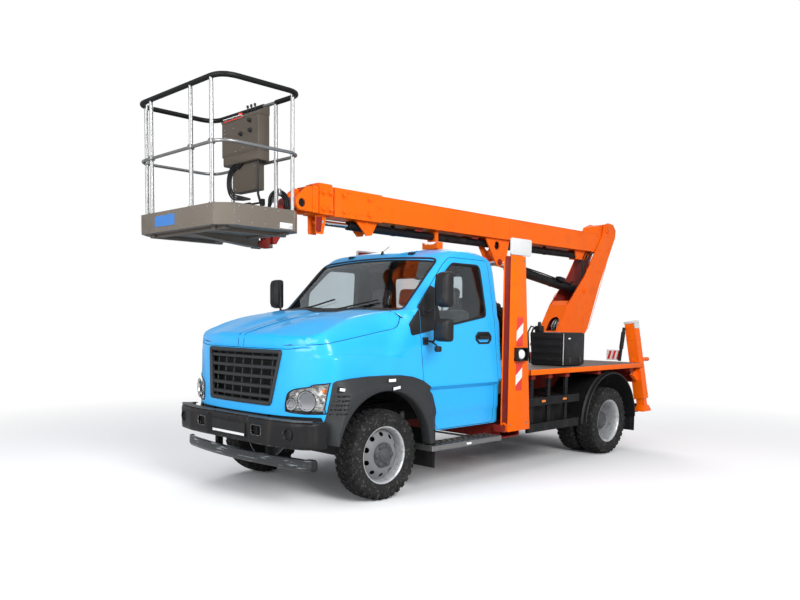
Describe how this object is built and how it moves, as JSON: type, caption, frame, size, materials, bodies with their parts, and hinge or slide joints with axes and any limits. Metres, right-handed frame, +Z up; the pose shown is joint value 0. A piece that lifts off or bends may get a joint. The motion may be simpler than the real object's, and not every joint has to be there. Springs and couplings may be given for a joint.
{
  "type": "cherry picker truck",
  "caption": "Bonneted cab truck with a flat deck, slewing telescopic boom, work basket and folding and slanted outriggers.",
  "frame": {"origin": "on the ground under the middle of the whole truck's bounding box", "axes": "+X forward, +Y to the left, +Z up"},
  "size_m": [7, 2.68, 3.4979],
  "materials": {
    "cab_paint": "gloss sky blue paint",
    "orange_paint": "gloss orange paint",
    "red_paint": "dark red primer paint",
    "frame_black": "satin black paint",
    "black_plastic": "matte black plastic",
    "grey_plastic": "grained dark grey plastic",
    "tyre_rubber": "tyre rubber",
    "wheel_silver": "silver painted steel",
    "galvanised": "galvanised steel",
    "glass": "clear glass",
    "basket_grey": "grey beige paint",
    "seat_fabric": "seat cloth",
    "iron": "cast iron",
    "bumper_grey": "worn dark grey paint",
    "chrome_dark": "dark chrome",
    "rod_chrome": "hard chrome"
  },
  "bodies": {
    "chassis": {"chassis_frame": "frame_black", "subframe": "red_paint", "front_axle": "iron", "rear_axle": "iron", "engine_block": "iron", "cab_shell": "cab_paint", "cab_glass": "glass", "grille": "black_plastic", "front_bumper": "bumper_grey", "lower_bar": "chrome_dark", "seats": "seat_fabric", "deck": "orange_paint", "slew_base": "orange_paint", "deck_cabinet": "frame_black", "rear_bumper": "frame_black", "spare_wheel": "tyre_rubber", "boom_rest": "orange_paint", "fuel_tank": "frame_black", "battery_box": "black_plastic", "flare_left": "grey_plastic", "flare_right": "grey_plastic", "running_board_left": "galvanised", "running_board_right": "galvanised", "side_guard_left": "frame_black", "side_guard_right": "frame_black", "mudguard_left": "black_plastic", "mudguard_right": "black_plastic", "rear_jack_housing_left": "orange_paint", "rear_jack_housing_right": "orange_paint"},
    "bonnet": {"bonnet": "cab_paint"},
    "cabinet_door": {"cabinet_door": "frame_black"},
    "turntable": {"turntable": "orange_paint"},
    "boom": {"boom_outer": "orange_paint", "extension_barrel": "frame_black"},
    "boom_mid": {"boom_mid": "orange_paint", "extension_rod": "rod_chrome"},
    "boom_inner": {"boom_inner": "orange_paint"},
    "lift_barrel": {"lift_barrel": "frame_black"},
    "lift_rod": {"lift_rod": "rod_chrome"},
    "basket_mount": {"basket_mount": "red_paint"},
    "basket": {"basket": "basket_grey", "control_box": "basket_grey"},
    "knuckle_left": {"knuckle_left": "iron"},
    "wheel_front_left": {"tyre_front_left": "tyre_rubber", "rim_front_left": "wheel_silver"},
    "wheel_rear_left": {"tyre_rear_left": "tyre_rubber", "rim_rear_left": "wheel_silver"},
    "door_left": {"door_left": "cab_paint", "mirror_left": "black_plastic"},
    "front_leg_left": {"front_leg_left": "orange_paint"},
    "rear_jack_leg_left": {"rear_jack_leg_left": "orange_paint"},
    "knuckle_right": {"knuckle_right": "iron"},
    "wheel_front_right": {"tyre_front_right": "tyre_rubber", "rim_front_right": "wheel_silver"},
    "wheel_rear_right": {"tyre_rear_right": "tyre_rubber", "rim_rear_right": "wheel_silver"},
    "door_right": {"door_right": "cab_paint", "mirror_right": "black_plastic"},
    "front_leg_right": {"front_leg_right": "orange_paint"},
    "rear_jack_leg_right": {"rear_jack_leg_right": "orange_paint"}
  },
  "joints": [
    {"name": "steer_left", "type": "hinge", "parent": "chassis", "child": "knuckle_left", "pos_m": [2, 0.79, 0.41], "axis": [0, 0, 1], "range_deg": [-35, 35]},
    {"name": "wheel_front_left_spin", "type": "hinge", "parent": "knuckle_left", "child": "wheel_front_left", "pos_m": [2, 0.87, 0.41], "axis": [0, 1, 0], "continuous": true},
    {"name": "wheel_rear_left_spin", "type": "hinge", "parent": "chassis", "child": "wheel_rear_left", "pos_m": [-1.77, 0.845, 0.41], "axis": [0, 1, 0], "continuous": true},
    {"name": "door_left_hinge", "type": "hinge", "parent": "chassis", "child": "door_left", "pos_m": [1.586, 1.032, 1.4], "axis": [0, 0, -1], "range_deg": [0, 70]},
    {"name": "front_leg_left_swing", "type": "hinge", "parent": "chassis", "child": "front_leg_left", "pos_m": [0.22, 1.11, 0.53], "axis": [-1, 0, 0], "range_deg": [0, 103]},
    {"name": "rear_jack_left_slide", "type": "slide", "parent": "chassis", "child": "rear_jack_leg_left", "axis": [0, 0.1736, -0.9848], "range_m": [0, 0.52]},
    {"name": "steer_right", "type": "hinge", "parent": "chassis", "child": "knuckle_right", "pos_m": [2, -0.79, 0.41], "axis": [0, 0, 1], "range_deg": [-35, 35]},
    {"name": "wheel_front_right_spin", "type": "hinge", "parent": "knuckle_right", "child": "wheel_front_right", "pos_m": [2, -0.87, 0.41], "axis": [0, 1, 0], "continuous": true},
    {"name": "wheel_rear_right_spin", "type": "hinge", "parent": "chassis", "child": "wheel_rear_right", "pos_m": [-1.77, -0.845, 0.41], "axis": [0, 1, 0], "continuous": true},
    {"name": "door_right_hinge", "type": "hinge", "parent": "chassis", "child": "door_right", "pos_m": [1.586, -1.032, 1.4], "axis": [0, 0, 1], "range_deg": [0, 70]},
    {"name": "front_leg_right_swing", "type": "hinge", "parent": "chassis", "child": "front_leg_right", "pos_m": [0.22, -1.11, 0.53], "axis": [1, 0, 0], "range_deg": [0, 103]},
    {"name": "rear_jack_right_slide", "type": "slide", "parent": "chassis", "child": "rear_jack_leg_right", "axis": [0, -0.1736, -0.9848], "range_m": [0, 0.52]},
    {"name": "bonnet_hinge", "type": "hinge", "parent": "chassis", "child": "bonnet", "pos_m": [1.828, 0, 1.65], "axis": [0, -1, 0], "range_deg": [0, 45]},
    {"name": "cabinet_door_hinge", "type": "hinge", "parent": "chassis", "child": "cabinet_door", "pos_m": [-1.0275, 1.035, 1.5], "axis": [1, 0, 0], "range_deg": [0, 100]},
    {"name": "slew", "type": "hinge", "parent": "chassis", "child": "turntable", "pos_m": [-2.2, 0, 1.3], "axis": [0, 0, 1], "range_deg": [-180, 180]},
    {"name": "boom_lift", "type": "hinge", "parent": "turntable", "child": "boom", "pos_m": [-3.27, 0, 2.96], "axis": [0, -1, 0], "range_deg": [0, 70]},
    {"name": "lift_barrel_tilt", "type": "hinge", "parent": "turntable", "child": "lift_barrel", "pos_m": [-2.68, 0, 2.07], "axis": [0, -1, 0], "range_deg": [0, 70]},
    {"name": "lift_rod_slide", "type": "slide", "parent": "lift_barrel", "child": "lift_rod", "axis": [0.9893, 0, 0.1459], "range_m": [0, 1.25]},
    {"name": "boom_extend", "type": "slide", "parent": "boom", "child": "boom_mid", "axis": [1, 0, 0], "range_m": [0, 3.8]},
    {"name": "boom_inner_extend", "type": "slide", "parent": "boom_mid", "child": "boom_inner", "axis": [1, 0, 0], "range_m": [0, 3.8]},
    {"name": "basket_level", "type": "hinge", "parent": "boom_inner", "child": "basket_mount", "pos_m": [2.285, 0, 2.695], "axis": [0, -1, 0], "range_deg": [-70, 0]},
    {"name": "basket_slew", "type": "hinge", "parent": "basket_mount", "child": "basket", "pos_m": [2.59, 0, 2.45], "axis": [0, 0, 1], "range_deg": [-60, 60]}
  ],
  "couplings": [
    {"joint": "steer_right", "follows": "steer_left", "ratio": 1},
    {"joint": "lift_barrel_tilt", "follows": "boom_lift", "ratio": 0.94463},
    {"joint": "lift_rod_slide", "follows": "boom_lift", "m_per_rad": 0.99365},
    {"joint": "basket_level", "follows": "boom_lift", "ratio": -1},
    {"joint": "boom_inner_extend", "follows": "boom_extend", "ratio": 1}
  ]
}
